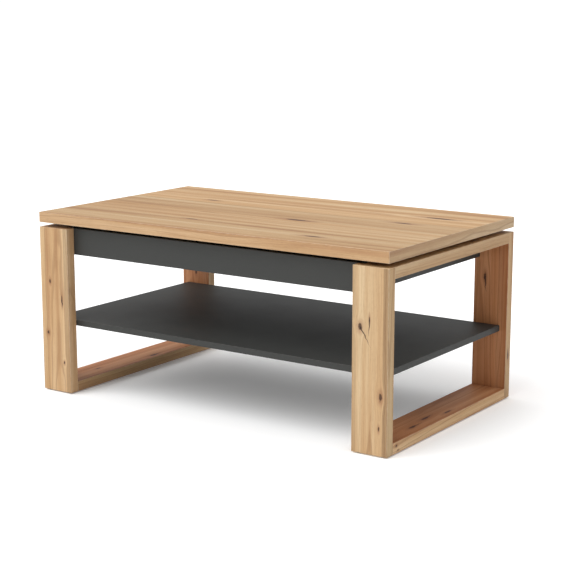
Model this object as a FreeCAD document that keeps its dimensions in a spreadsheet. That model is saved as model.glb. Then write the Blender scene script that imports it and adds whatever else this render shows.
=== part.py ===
import FreeCAD, Part
import os

# A coffee table whose top lifts up and back on two parallel-arm linkages.
# Frame: origin on the floor under the middle of the table, +X to the right,
# -Y towards the front, +Z up. All sizes are in millimetres.

doc = FreeCAD.newDocument("lift_top_coffee_table")
sheet = doc.addObject("Spreadsheet::Sheet", "dims")

DRIVING = {
    # whole table
    "table_length": 1100.0,
    "table_depth": 650.0,
    "frame_top": 457.0,
    "top_thickness": 28.0,
    "top_gap": 12.0,
    "arris": 0.8,
    # end loops
    "board": 28.0,
    "leg_width": 99.0,
    "top_rail_width": 84.0,
    "glide_height": 3.0,
    "glide_radius": 9.0,
    "glide_edge": 16.0,
    "glide_nail_radius": 1.2,
    "glide_nail_length": 12.0,
    # shelf and tray
    "panel": 16.0,
    "shelf_top": 204.5,
    "shelf_setback": 20.0,
    "tray_height": 72.0,
    "bottom_sheet": 3.2,
    "groove_depth": 6.0,
    "groove_lift": 6.0,
    "groove_gap": 0.3,
    # knock-down fittings
    "dowel_radius": 4.0,
    "dowel_in_leg": 11.0,
    "dowel_in_rail": 19.0,
    "dowel_edge": 16.0,
    "bolt_radius": 3.4,
    "bolt_in_leg": 11.0,
    "cam_radius": 7.5,
    "cam_setback": 34.0,
    "cam_above_bolt": 1.0,
    "shelf_dowel_spread": 22.0,
    "tray_dowel_radius": 3.0,
    "tray_dowel_inset": 20.0,
    "tray_dowel_in_panel": 9.0,
    "tray_dowel_in_side": 20.0,
    "hole_gap": 0.1,
    "hole_end_gap": 0.8,
    # wood screws
    "screw_radius": 2.0,
    "screw_head_radius": 4.0,
    "screw_head": 1.3,
    "rail_screw_length": 40.0,
    "plate_screw_length": 12.0,
    "bracket_screw_length": 18.0,
    # lift mechanism
    "plate_steel": 2.5,
    "arm_steel": 3.0,
    "arm_width": 12.0,
    "arm_reach": 120.0,
    "arm_spacing": 70.0,
    "elbow_along": 52.0,
    "elbow_bow": 16.5,
    "base_eye_radius": 14.0,
    "top_eye_radius": 9.0,
    "pivot_from_middle": 103.5,
    "pivot_drop": 12.0,
    "closed_lean": 94.5,
    "open_lean": 27.0,
    "pin_radius": 3.0,
    "pin_head_radius": 6.0,
    "pin_head": 1.5,
    "spacer_radius": 7.0,
    "running_gap": 0.05,
    "open_pivot_gap": 0.3,
    "side_gap": 0.1,
    "front_arm_offset": 4.0,
    "rear_arm_offset": 9.0,
    "bracket_offset": 14.0,
    "bracket_web": 30.0,
    "bracket_foot": 35.0,
    "bracket_overhang": 20.0,
    "bracket_ear_radius": 10.5,
    "bracket_screw_edge": 12.0,
    "plate_floor_gap": 5.0,
    "plate_top_gap": 2.0,
    "plate_front": 18.0,
    "plate_back_gap": 4.0,
    "plate_screw_edge": 9.0,
    "plate_screw_back": 28.0,
    "pad_thickness": 1.8,
    "pad_length": 30.0,
    "pad_from_end": 12.0,
    "pad_inset": 2.0,
    "pad_rest_gap": 0.2,
    "stud_radius": 4.0,
    "stud_along": 30.0,
    "stud_past_arm": 1.0,
    "stop_gap": 0.3,
    "bar_size": 14.0,
    "bar_wall": 1.5,
    "bar_above_elbow": 12.0,
    "bar_tab_length": 34.0,
    "bar_tab_steel": 2.5,
    "bar_screw_above": 21.0,
    "bar_screw_radius": 2.5,
    "bar_screw_head_radius": 4.5,
    "bar_screw_head": 2.6,
}
for row, (alias, value) in enumerate(DRIVING.items(), start=1):
    sheet.set(f"A{row}", alias.replace("_", " "))
    sheet.set(f"B{row}", str(value))
    sheet.setAlias(f"B{row}", alias)
doc.recompute()

SIDES = {"left": -1, "right": 1}
ENDS = {"front": -1, "rear": 1}
AXES = {"X": 0, "Y": 1, "Z": 2}
TURN_TO = {
    "X": FreeCAD.Rotation(FreeCAD.Vector(0, 1, 0), 90),
    "Y": FreeCAD.Rotation(FreeCAD.Vector(1, 0, 0), -90),
    "Z": FreeCAD.Rotation(),
}

# Places worked out from the driving sizes, as expressions on the sheet.
HALF_LENGTH = "dims.table_length / 2"
HALF_DEPTH = "dims.table_depth / 2"
LEG_INNER_X = "dims.table_length / 2 - dims.leg_width"
LEG_INNER_Y = "dims.table_depth / 2 - dims.board"
TRAY_OUTER_X = "dims.table_length / 2 - dims.top_rail_width"
TRAY_INNER_X = "dims.table_length / 2 - dims.top_rail_width - dims.panel"
TRAY_INNER_Y = "dims.table_depth / 2 - dims.board - dims.panel"
FRAME_LOW = "dims.glide_height"
FRAME_TOP = "dims.frame_top"
TOP_RAIL_LOW = "dims.frame_top - dims.board"
SHELF_END_X = "dims.table_length / 2 - dims.shelf_setback"
SHELF_LOW = "dims.shelf_top - dims.panel"
TRAY_LOW = "dims.frame_top - dims.tray_height"
GROOVE_LOW = "dims.frame_top - dims.tray_height + dims.groove_lift"
SHEET_TOP = f"{GROOVE_LOW} + dims.bottom_sheet"
SLAB_LOW = "dims.frame_top + dims.top_gap"
SLAB_TOP = "dims.frame_top + dims.top_gap + dims.top_thickness"
PAD_TOP = f"{SLAB_LOW} - dims.pad_rest_gap"
RIM_TOP = f"{PAD_TOP} - dims.pad_thickness"
PIVOT_Z = "dims.frame_top - dims.pivot_drop"
TOP_PIVOT_Z = f"({PIVOT_Z} + dims.arm_reach * cos(dims.closed_lean))"


def pivot_y(end):
    """Base pivot of the front or rear arms, along Y."""
    if end == "front":
        return "dims.pivot_from_middle"
    return "dims.pivot_from_middle + dims.arm_spacing"


def top_pivot_y(end):
    """Pivot at the upper end of the same arm with the top closed, along Y."""
    return f"({pivot_y(end)} - dims.arm_reach * sin(dims.closed_lean))"


def span(sign, near, far):
    """(low, high) of a stretch that runs from near to far, away from the middle plane."""
    if sign > 0:
        return near, far
    return f"-({far})", f"-({near})"


def signed(sign, text):
    return text if sign > 0 else f"-({text})"


def value(alias):
    return float(sheet.get(alias))


def box(name, x, y, z):
    """A box from (low, high) expressions along each axis."""
    made = doc.addObject("Part::Box", name)
    for side, (low, high) in zip(("Length", "Width", "Height"), (x, y, z)):
        made.setExpression(side, f"({high}) - ({low})")
    for letter, (low, _) in zip("xyz", (x, y, z)):
        made.setExpression(f"Placement.Base.{letter}", low)
    return made


def rod(name, axis, reach, centre, radius):
    """A cylinder along an axis, over a (low, high) reach, centred on the other two coordinates."""
    made = doc.addObject("Part::Cylinder", name)
    made.Placement = FreeCAD.Placement(FreeCAD.Vector(), TURN_TO[axis])
    made.setExpression("Radius", radius)
    made.setExpression("Height", f"({reach[1]}) - ({reach[0]})")
    start = list(centre)
    start.insert(AXES[axis], reach[0])
    for letter, text in zip("xyz", start):
        made.setExpression(f"Placement.Base.{letter}", text)
    return made


def fused(name, pieces):
    made = doc.addObject("Part::MultiFuse", name)
    made.Shapes = pieces
    made.Refine = True
    return made


def grouped(name, pieces):
    """Separate solids that share one node."""
    made = doc.addObject("Part::Compound", name)
    made.Links = pieces
    return made


def cut(name, base, tools):
    made = doc.addObject("Part::Cut", name)
    made.Base = base
    made.Tool = tools[0] if len(tools) == 1 else grouped(f"{name}_holes", tools)
    return made


def eased(name, base):
    """All twelve arrises of a box board rounded by the arris radius."""
    made = doc.addObject("Part::Fillet", name)
    made.Base = base
    radius = value("arris")
    made.Edges = [(edge, radius, radius) for edge in range(1, 13)]
    return made


def board(name, x, y, z):
    return eased(f"{name}_board", box(f"{name}_blank", x, y, z))


nodes = {}


def keep(name, made):
    """Registers a finished sub-part under the name of its node."""
    made.Label = name
    nodes[name] = made
    return made


# ---------------------------------------------------------------- fittings
# Each kind of fitting is placed once. The same places make the fitting itself
# and, a little wider and longer, its holes.


def rail_joint_x(rail, side):
    """The middle of a rail's width and how far its dowels stand to each side."""
    inner = TRAY_OUTER_X if rail == "top" else LEG_INNER_X
    middle = f"(({HALF_LENGTH}) + ({inner})) / 2"
    spread = f"((({HALF_LENGTH}) - ({inner})) / 2 - dims.dowel_edge)"
    return signed(side, middle), spread


def rail_joint_z(rail):
    low = TOP_RAIL_LOW if rail == "top" else FRAME_LOW
    return f"{low} + dims.board / 2"


def frame_rods(label, side, end, middle_x, spread, z, grow, extra):
    """Two dowels and one cam bolt across the seam at a leg's inner face."""
    made = {"dowels": [], "bolts": []}
    reach = span(
        end,
        f"{LEG_INNER_Y} - dims.dowel_in_rail{extra.replace('+', '-')}",
        f"{LEG_INNER_Y} + dims.dowel_in_leg{extra}",
    )
    for place, sign in (("a", "-"), ("b", "+")):
        centre = (f"{middle_x} {sign} {spread}", z)
        radius = f"dims.dowel_radius{grow}"
        made["dowels"].append(rod(f"{label}_dowel_{place}", "Y", reach, centre, radius))
    reach = span(
        end,
        f"{LEG_INNER_Y} - dims.cam_setback + dims.cam_radius / 2",
        f"{LEG_INNER_Y} + dims.bolt_in_leg{extra}",
    )
    bolt = rod(f"{label}_bolt", "Y", reach, (middle_x, z), f"dims.bolt_radius{grow}")
    made["bolts"].append(bolt)
    return made


def cam(label, end, middle_x, low, board_size, grow, extra):
    """A round cam let into the lower face of a board, over the end of its bolt."""
    centre = (middle_x, signed(end, f"{LEG_INNER_Y} - dims.cam_setback"))
    top = f"{low} + ({board_size}) / 2 + dims.bolt_radius + dims.cam_above_bolt{extra}"
    return rod(label, "Z", (low, top), centre, f"dims.cam_radius{grow}")


WIDER = " + dims.hole_gap"
LONGER = " + dims.hole_end_gap"


def rail_fittings(rail, side_name, end_name, grow="", extra=""):
    side, end = SIDES[side_name], ENDS[end_name]
    tag = "hole" if grow else "fit"
    label = f"{rail}_{side_name}_{end_name}_{tag}_{len(doc.Objects)}"
    middle_x, spread = rail_joint_x(rail, side)
    z = rail_joint_z(rail)
    low = TOP_RAIL_LOW if rail == "top" else FRAME_LOW
    made = frame_rods(label, side, end, middle_x, spread, z, grow, extra)
    made["cams"] = [cam(f"{label}_cam", end, middle_x, low, "dims.board", grow, extra)]
    return made


def shelf_fittings(side_name, end_name, grow="", extra=""):
    side, end = SIDES[side_name], ENDS[end_name]
    tag = "hole" if grow else "fit"
    label = f"shelf_{side_name}_{end_name}_{tag}_{len(doc.Objects)}"
    middle_x = signed(side, f"(({SHELF_END_X}) + ({LEG_INNER_X})) / 2")
    z = f"{SHELF_LOW} + dims.panel / 2"
    spread = "dims.shelf_dowel_spread"
    made = frame_rods(label, side, end, middle_x, spread, z, grow, extra)
    made["cams"] = [cam(f"{label}_cam", end, middle_x, SHELF_LOW, "dims.panel", grow, extra)]
    return made


def glide_places(side, end):
    """The two glides under one leg."""
    y = signed(end, f"{HALF_DEPTH} - dims.board / 2")
    near = signed(side, f"{LEG_INNER_X} + dims.glide_edge")
    far = signed(side, f"{HALF_LENGTH} - dims.glide_edge")
    return [(near, y), (far, y)]


def glide_nail(label, place, grow, extra):
    top = f"{FRAME_LOW} + dims.glide_nail_length{extra}"
    return rod(label, "Z", (FRAME_LOW, top), place, f"dims.glide_nail_radius{grow}")


# --------------------------------------------------------------- end loops
def add_leg(side_name, end_name):
    side, end = SIDES[side_name], ENDS[end_name]
    name = f"{end_name}_leg_{side_name}"
    blank = board(
        name,
        span(side, LEG_INNER_X, HALF_LENGTH),
        span(end, LEG_INNER_Y, HALF_DEPTH),
        (FRAME_LOW, FRAME_TOP),
    )
    holes = []
    for rail in ("top", "bottom"):
        made = rail_fittings(rail, side_name, end_name, WIDER, LONGER)
        holes += made["dowels"] + made["bolts"]
    made = shelf_fittings(side_name, end_name, WIDER, LONGER)
    holes += made["dowels"] + made["bolts"]
    for place in glide_places(side, end):
        label = f"{name}_nail_hole_{len(doc.Objects)}"
        holes.append(glide_nail(label, place, WIDER, LONGER))
    keep(name, cut(name, blank, holes))


RAIL_SCREW_SHARES = (0.85, 0.52, 0.2)


def rail_screw_places():
    """Along Y, where a side of the tray is screwed to its top rail, ahead of the mechanism."""
    return [f"-{share} * ({LEG_INNER_Y})" for share in RAIL_SCREW_SHARES]


def rail_screw(label, side, y, grow, extra, head):
    z = f"{TOP_RAIL_LOW} + dims.board / 2"
    reach = span(side, TRAY_INNER_X, f"{TRAY_INNER_X} + dims.rail_screw_length{extra}")
    shank = rod(label, "X", reach, (y, z), f"dims.screw_radius{grow}")
    if not head:
        return shank
    reach = span(side, f"{TRAY_INNER_X} - dims.screw_head", TRAY_INNER_X)
    cap = rod(f"{label}_head", "X", reach, (y, z), "dims.screw_head_radius")
    return fused(f"{label}_screw", [shank, cap])


def add_rail(rail, side_name):
    side = SIDES[side_name]
    name = f"{rail}_rail_{side_name}"
    inner = TRAY_OUTER_X if rail == "top" else LEG_INNER_X
    low = TOP_RAIL_LOW if rail == "top" else FRAME_LOW
    blank = board(
        name,
        span(side, inner, HALF_LENGTH),
        (f"-({LEG_INNER_Y})", LEG_INNER_Y),
        (low, f"{low} + dims.board"),
    )
    holes = []
    for end_name in ENDS:
        made = rail_fittings(rail, side_name, end_name, WIDER, LONGER)
        holes += made["dowels"] + made["bolts"] + made["cams"]
    if rail == "top":
        for y in rail_screw_places():
            label = f"{name}_screw_hole_{len(doc.Objects)}"
            holes.append(rail_screw(label, side, y, WIDER, LONGER, False))
    keep(name, cut(name, blank, holes))


for side_name in SIDES:
    for end_name in ENDS:
        add_leg(side_name, end_name)
    for rail in ("top", "bottom"):
        add_rail(rail, side_name)

rail_pieces = {"dowels": [], "bolts": [], "cams": []}
shelf_pieces = {"dowels": [], "bolts": [], "cams": []}
glides = []
for side_name, side in SIDES.items():
    for end_name, end in ENDS.items():
        joints = [rail_fittings(rail, side_name, end_name) for rail in ("top", "bottom")]
        for kind in rail_pieces:
            for made in joints:
                rail_pieces[kind] += made[kind]
        made = shelf_fittings(side_name, end_name)
        for kind in shelf_pieces:
            shelf_pieces[kind] += made[kind]
        for place in glide_places(side, end):
            label = f"glide_{len(doc.Objects)}"
            disc = rod(label, "Z", ("0", FRAME_LOW), place, "dims.glide_radius")
            nail = glide_nail(f"{label}_nail", place, "", "")
            glides.append(fused(f"{label}_whole", [disc, nail]))
keep("floor_glides", grouped("floor_glides", glides))


def add_joint_fittings(prefix, pieces):
    """Dowels, bolts, and cams with the bolt's bore across them."""
    keep(f"{prefix}_dowels", grouped(f"{prefix}_dowels", pieces["dowels"]))
    keep(f"{prefix}_cam_bolts", grouped(f"{prefix}_cam_bolts", pieces["bolts"]))
    bored = []
    for disc, bolt in zip(pieces["cams"], pieces["bolts"]):
        bored.append(cut(f"{disc.Name}_bored", disc, [bolt]))
    keep(f"{prefix}_cams", grouped(f"{prefix}_cams", bored))


add_joint_fittings("rail", rail_pieces)
add_joint_fittings("shelf", shelf_pieces)

# ------------------------------------------------------------------- shelf
blank = board(
    "shelf",
    (f"-({SHELF_END_X})", SHELF_END_X),
    (f"-({LEG_INNER_Y})", LEG_INNER_Y),
    (SHELF_LOW, "dims.shelf_top"),
)
holes = []
for side_name in SIDES:
    for end_name in ENDS:
        made = shelf_fittings(side_name, end_name, WIDER, LONGER)
        holes += made["dowels"] + made["bolts"] + made["cams"]
keep("shelf", cut("shelf", blank, holes))


# -------------------------------------------------------------------- tray
def tray_groove(label, x, y):
    z = (f"{GROOVE_LOW} - dims.groove_gap", f"{SHEET_TOP} + dims.groove_gap")
    return box(label, x, y, z)


def tray_dowels(side, end, grow="", extra=""):
    """Two dowels between the front or back panel and the end of a tray side."""
    reach = span(
        end,
        f"{TRAY_INNER_Y} - dims.tray_dowel_in_side{extra.replace('+', '-')}",
        f"{TRAY_INNER_Y} + dims.tray_dowel_in_panel{extra}",
    )
    x = signed(side, f"{TRAY_INNER_X} + dims.panel / 2")
    heights = (f"{TRAY_LOW} + dims.tray_dowel_inset", f"{FRAME_TOP} - dims.tray_dowel_inset")
    made = []
    for z in heights:
        label = f"tray_dowel_{len(doc.Objects)}"
        made.append(rod(label, "Y", reach, (x, z), f"dims.tray_dowel_radius{grow}"))
    return made


groove_x = (
    f"-({TRAY_INNER_X} + dims.groove_depth)",
    f"{TRAY_INNER_X} + dims.groove_depth",
)
# The sides and the back stand above the loops and meet the closed top. The front
# panel ends level with the loops, which leaves room for fingers under the top.
for name, end, high in (("tray_front", -1, FRAME_TOP), ("tray_back", 1, RIM_TOP)):
    blank = board(
        name,
        (f"-({TRAY_OUTER_X})", TRAY_OUTER_X),
        span(end, TRAY_INNER_Y, LEG_INNER_Y),
        (TRAY_LOW, high),
    )
    depth = span(end, TRAY_INNER_Y, f"{TRAY_INNER_Y} + dims.groove_depth")
    tools = [tray_groove(f"{name}_groove", groove_x, depth)]
    for side in SIDES.values():
        tools += tray_dowels(side, end, WIDER, LONGER)
    keep(name, cut(name, blank, tools))

bottom_reach = "dims.groove_depth - dims.groove_gap"
keep(
    "tray_bottom",
    box(
        "tray_bottom",
        (f"-({TRAY_INNER_X} + {bottom_reach})", f"{TRAY_INNER_X} + {bottom_reach}"),
        (f"-({TRAY_INNER_Y} + {bottom_reach})", f"{TRAY_INNER_Y} + {bottom_reach}"),
        (GROOVE_LOW, SHEET_TOP),
    ),
)

# --------------------------------------------------- lift mechanism, places
PLATE_FACE = f"{TRAY_INNER_X} - dims.plate_steel"
FRONT_ARM_OUT = f"{TRAY_INNER_X} - dims.front_arm_offset"
REAR_ARM_OUT = f"{TRAY_INNER_X} - dims.rear_arm_offset"
BRACKET_OUT = f"{TRAY_INNER_X} - dims.bracket_offset"
BRACKET_FACE = f"{BRACKET_OUT} - dims.plate_steel"
PLATE_LOW = f"{SHEET_TOP} + dims.plate_floor_gap"
PLATE_TOP = "dims.frame_top - dims.plate_top_gap"
PLATE_FRONT = f"{pivot_y('front')} - dims.plate_front"
PLATE_BACK = f"{TRAY_INNER_Y} - dims.plate_back_gap"
ELBOW_ANGLE = "atan(dims.elbow_bow / dims.elbow_along)"
LOWER_LINK = "sqrt(dims.elbow_bow ^ 2 + dims.elbow_along ^ 2)"
UPPER_RISE = "(dims.arm_reach - dims.elbow_along)"
UPPER_ANGLE = f"atan(dims.elbow_bow / {UPPER_RISE})"
UPPER_LINK = f"sqrt(dims.elbow_bow ^ 2 + {UPPER_RISE} ^ 2)"
STOP_LEAN = f"(dims.open_lean * 1 deg + {ELBOW_ANGLE})"
STOP_OFF = "(dims.arm_width / 2 + dims.stud_radius + dims.stop_gap)"
STUD_Y = f"{pivot_y('rear')} + dims.stud_along * sin({STOP_LEAN}) + {STOP_OFF} * cos({STOP_LEAN})"
STUD_Z = f"{PIVOT_Z} + dims.stud_along * cos({STOP_LEAN}) - {STOP_OFF} * sin({STOP_LEAN})"


def arm_out(end_name):
    return FRONT_ARM_OUT if end_name == "front" else REAR_ARM_OUT


def plate_screw_places():
    low = f"{PLATE_LOW} + dims.plate_screw_edge"
    middle = f"(({PLATE_FRONT}) + ({PLATE_BACK})) / 2"
    back = f"{PLATE_BACK} - dims.plate_screw_back"
    return [
        (f"{PLATE_FRONT} + dims.plate_screw_edge", low),
        (middle, low),
        (back, low),
        (back, f"{PLATE_TOP} - dims.plate_screw_edge"),
    ]


def plate_screw(label, side, place, grow, extra, head):
    reach = span(side, PLATE_FACE, f"{TRAY_INNER_X} + dims.plate_screw_length{extra}")
    shank = rod(label, "X", reach, place, f"dims.screw_radius{grow}")
    if not head:
        return shank
    reach = span(side, f"{PLATE_FACE} - dims.screw_head", PLATE_FACE)
    cap = rod(f"{label}_head", "X", reach, place, "dims.screw_head_radius")
    return fused(f"{label}_screw", [shank, cap])


def add_tray_side(side_name):
    side = SIDES[side_name]
    name = f"tray_side_{side_name}"
    blank = board(
        name,
        span(side, TRAY_INNER_X, TRAY_OUTER_X),
        (f"-({TRAY_INNER_Y})", TRAY_INNER_Y),
        (TRAY_LOW, RIM_TOP),
    )
    depth = span(side, TRAY_INNER_X, f"{TRAY_INNER_X} + dims.groove_depth")
    whole = (f"-({TRAY_INNER_Y})", TRAY_INNER_Y)
    tools = [tray_groove(f"{name}_groove", depth, whole)]
    for end in ENDS.values():
        tools += tray_dowels(side, end, WIDER, LONGER)
    for y in rail_screw_places():
        label = f"{name}_rail_hole_{len(doc.Objects)}"
        tools.append(rail_screw(label, side, y, WIDER, LONGER, False))
    for place in plate_screw_places():
        label = f"{name}_plate_hole_{len(doc.Objects)}"
        tools.append(plate_screw(label, side, place, WIDER, LONGER, False))
    keep(name, cut(name, blank, tools))


def add_base_plate(side_name):
    side = SIDES[side_name]
    name = f"base_plate_{side_name}"
    x = span(side, PLATE_FACE, TRAY_INNER_X)
    web = box(f"{name}_web", x, (PLATE_FRONT, PLATE_BACK), (PLATE_LOW, PLATE_TOP))
    tools = []
    for end_name in ENDS:
        centre = (pivot_y(end_name), PIVOT_Z)
        hole = rod(f"{name}_{end_name}_hole", "X", x, centre, f"dims.pin_radius{WIDER}")
        tools.append(hole)
    tools.append(rod(f"{name}_stud_hole", "X", x, (STUD_Y, STUD_Z), f"dims.pin_radius{WIDER}"))
    for place in plate_screw_places():
        label = f"{name}_screw_hole_{len(doc.Objects)}"
        tools.append(plate_screw(label, side, place, WIDER, LONGER, False))
    keep(name, cut(name, web, tools))


for side_name in SIDES:
    add_tray_side(side_name)
    add_base_plate(side_name)


# -------------------------------------------------------------------- arms
def turned(made, angle, y, z):
    """Turns a piece about X by an angle expression, then places it at (y, z)."""
    made.Placement = FreeCAD.Placement(
        FreeCAD.Vector(), FreeCAD.Rotation(FreeCAD.Vector(1, 0, 0), 1)
    )
    made.setExpression("Placement.Rotation.Angle", angle)
    made.setExpression("Placement.Base.y", y)
    made.setExpression("Placement.Base.z", z)
    return made


def link(label, x, length, angle, y, z):
    """A straight flat of the arm's width that rises from (y, z), leaning back by angle."""
    made = doc.addObject("Part::Box", label)
    made.setExpression("Length", f"({x[1]}) - ({x[0]})")
    made.setExpression("Width", "dims.arm_width")
    made.setExpression("Height", length)
    turned(made, f"-({angle})", y, z)
    made.setExpression("Placement.Base.x", x[0])
    half = "dims.arm_width / 2"
    made.setExpression("Placement.Base.y", f"{y} - {half} * cos({angle})")
    made.setExpression("Placement.Base.z", f"{z} + {half} * sin({angle})")
    return made


def add_arm(side_name, end_name):
    """A cranked arm, drawn upright on its base pivot and leaned forward to its closed place."""
    side = SIDES[side_name]
    name = f"{end_name}_arm_{side_name}"
    out = arm_out(end_name)
    x = span(side, f"{out} - dims.arm_steel", out)
    whole = fused(
        f"{name}_whole",
        [
            rod(f"{name}_base_eye", "X", x, ("0", "0"), "dims.base_eye_radius"),
            link(f"{name}_lower", x, LOWER_LINK, ELBOW_ANGLE, "0", "0"),
            rod(
                f"{name}_elbow",
                "X",
                x,
                ("dims.elbow_bow", "dims.elbow_along"),
                "dims.arm_width / 2",
            ),
            link(
                f"{name}_upper",
                x,
                UPPER_LINK,
                f"-({UPPER_ANGLE})",
                "dims.elbow_bow",
                "dims.elbow_along",
            ),
            rod(f"{name}_top_eye", "X", x, ("0", "dims.arm_reach"), "dims.top_eye_radius"),
        ],
    )
    running = "dims.pin_radius + dims.running_gap"
    upper = running if end_name == "rear" else "dims.pin_radius + dims.open_pivot_gap"
    tools = [
        rod(f"{name}_base_hole", "X", x, ("0", "0"), running),
        rod(f"{name}_top_hole", "X", x, ("0", "dims.arm_reach"), upper),
    ]
    if end_name == "rear":
        place = bar_place("dims.bar_above_elbow + dims.bar_screw_above")
        tools.append(rod(f"{name}_bar_hole", "X", x, place, f"dims.bar_screw_radius{WIDER}"))
    made = turned(cut(name, whole, tools), "dims.closed_lean", pivot_y(end_name), PIVOT_Z)
    keep(name, made)


def bar_place(along):
    """(y, z) on the rear arm's upper link, that far above its elbow, on the upright arm."""
    return (
        f"dims.elbow_bow - ({along}) * sin({UPPER_ANGLE})",
        f"dims.elbow_along + ({along}) * cos({UPPER_ANGLE})",
    )


for side_name in SIDES:
    for end_name in ENDS:
        add_arm(side_name, end_name)


def bar_box(label, x, size, low, high):
    """A box that stands on the upper link's line, square to it, from low to high above the elbow."""
    made = doc.addObject("Part::Box", label)
    made.setExpression("Length", f"({x[1]}) - ({x[0]})")
    made.setExpression("Width", size)
    made.setExpression("Height", f"({high}) - ({low})")
    y, z = bar_place(low)
    half = f"({size}) / 2"
    turned(made, UPPER_ANGLE, y, z)
    made.setExpression("Placement.Base.x", x[0])
    made.setExpression("Placement.Base.y", f"{y} - {half} * cos({UPPER_ANGLE})")
    made.setExpression("Placement.Base.z", f"{z} - {half} * sin({UPPER_ANGLE})")
    return made


REAR_ARM_IN = f"{REAR_ARM_OUT} - dims.arm_steel"
bar_low = "dims.bar_above_elbow - dims.bar_size / 2"
bar_high = "dims.bar_above_elbow + dims.bar_size / 2"
bar_x = (f"-({REAR_ARM_IN})", REAR_ARM_IN)
bar_pieces = [bar_box("cross_bar_tube", bar_x, "dims.bar_size", bar_low, bar_high)]
bar_holes = [
    bar_box(
        "cross_bar_inside",
        (f"-({REAR_ARM_IN} - dims.bar_tab_steel)", f"{REAR_ARM_IN} - dims.bar_tab_steel"),
        "dims.bar_size - 2 * dims.bar_wall",
        f"{bar_low} + dims.bar_wall",
        f"{bar_high} - dims.bar_wall",
    )
]
bar_screws = []
screw_place = bar_place("dims.bar_above_elbow + dims.bar_screw_above")
for side_name, side in SIDES.items():
    tab_x = span(side, f"{REAR_ARM_IN} - dims.bar_tab_steel", REAR_ARM_IN)
    bar_pieces.append(
        bar_box(
            f"cross_bar_tab_{side_name}",
            tab_x,
            "dims.arm_width",
            bar_low,
            f"{bar_low} + dims.bar_tab_length",
        )
    )
    hole = rod(
        f"cross_bar_hole_{side_name}", "X", tab_x, screw_place, f"dims.bar_screw_radius{WIDER}"
    )
    bar_holes.append(hole)
    shank_x = span(side, f"{REAR_ARM_IN} - dims.bar_tab_steel", REAR_ARM_OUT)
    shank = rod(f"bar_screw_{side_name}", "X", shank_x, screw_place, "dims.bar_screw_radius")
    head_x = span(
        side,
        f"{REAR_ARM_IN} - dims.bar_tab_steel - dims.bar_screw_head",
        f"{REAR_ARM_IN} - dims.bar_tab_steel",
    )
    head = rod(
        f"bar_screw_head_{side_name}", "X", head_x, screw_place, "dims.bar_screw_head_radius"
    )
    bar_screws.append(fused(f"bar_screw_{side_name}_whole", [shank, head]))
bar = cut("cross_bar", fused("cross_bar_whole", bar_pieces), bar_holes)
keep("cross_bar", turned(bar, "dims.closed_lean", pivot_y("rear"), PIVOT_Z))
screws = grouped("cross_bar_screws", bar_screws)
keep("cross_bar_screws", turned(screws, "dims.closed_lean", pivot_y("rear"), PIVOT_Z))


# -------------------------------------------------- pins, spacers and stops
def pin(label, side, inner, outer, centre, head_inside):
    """A pivot rivet from inner to outer, with a flat head beyond one of them."""
    shank = rod(label, "X", span(side, inner, outer), centre, "dims.pin_radius")
    reach = (outer, f"{outer} + dims.pin_head")
    if head_inside:
        reach = (f"{inner} - dims.pin_head", inner)
    cap = rod(f"{label}_head", "X", span(side, *reach), centre, "dims.pin_head_radius")
    return fused(f"{label}_rivet", [shank, cap])


def spacer(label, side, inner, outer, centre):
    ring = rod(label, "X", span(side, inner, outer), centre, "dims.spacer_radius")
    hole = rod(f"{label}_hole", "X", span(side, inner, outer), centre, f"dims.pin_radius{WIDER}")
    return cut(f"{label}_ring", ring, [hole])


base_spacers = []
top_spacers = []
for end_name in ENDS:
    base_pins = []
    top_pins = []
    base_centre = (pivot_y(end_name), PIVOT_Z)
    top_centre = (top_pivot_y(end_name), TOP_PIVOT_Z)
    beyond = f"{arm_out(end_name)} + dims.side_gap"
    within = f"{arm_out(end_name)} - dims.arm_steel - dims.side_gap"
    for side_name, side in SIDES.items():
        tag = f"{end_name}_{side_name}"
        base_pins.append(pin(f"base_pin_{tag}", side, within, TRAY_INNER_X, base_centre, True))
        top_pins.append(pin(f"top_pin_{tag}", side, BRACKET_FACE, beyond, top_centre, False))
        base_spacers.append(spacer(f"base_spacer_{tag}", side, beyond, PLATE_FACE, base_centre))
        top_spacers.append(spacer(f"top_spacer_{tag}", side, BRACKET_OUT, within, top_centre))
    keep(f"{end_name}_base_pins", grouped(f"{end_name}_base_pins", base_pins))
    keep(f"{end_name}_top_pins", grouped(f"{end_name}_top_pins", top_pins))
keep("base_spacers", grouped("base_spacers", base_spacers))
keep("top_spacers", grouped("top_spacers", top_spacers))

studs = []
pads = []
for side_name, side in SIDES.items():
    centre = (STUD_Y, STUD_Z)
    reach = span(side, f"{REAR_ARM_IN} - dims.stud_past_arm", PLATE_FACE)
    body = rod(f"stud_{side_name}", "X", reach, centre, "dims.stud_radius")
    spigot = rod(
        f"stud_spigot_{side_name}",
        "X",
        span(side, PLATE_FACE, TRAY_INNER_X),
        centre,
        "dims.pin_radius",
    )
    studs.append(fused(f"stud_whole_{side_name}", [body, spigot]))
    pad_x = span(
        side, f"{TRAY_INNER_X} + dims.pad_inset", f"{TRAY_OUTER_X} - dims.pad_inset"
    )
    for end_name, end in ENDS.items():
        pad_y = span(
            end,
            f"{TRAY_INNER_Y} - dims.pad_from_end - dims.pad_length",
            f"{TRAY_INNER_Y} - dims.pad_from_end",
        )
        pads.append(box(f"pad_{end_name}_{side_name}", pad_x, pad_y, (RIM_TOP, PAD_TOP)))
keep("stop_studs", grouped("stop_studs", studs))
keep("stop_pads", grouped("stop_pads", pads))

# --------------------------------------------------------------- lift top
BRACKET_FRONT = f"{top_pivot_y('front')} - dims.bracket_overhang"
BRACKET_BACK = f"{top_pivot_y('rear')} + dims.bracket_overhang"
FOOT_LOW = f"{SLAB_LOW} - dims.plate_steel"
BRACKET_SCREW_X = f"{BRACKET_FACE} - dims.bracket_foot + dims.bracket_screw_edge"


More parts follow.
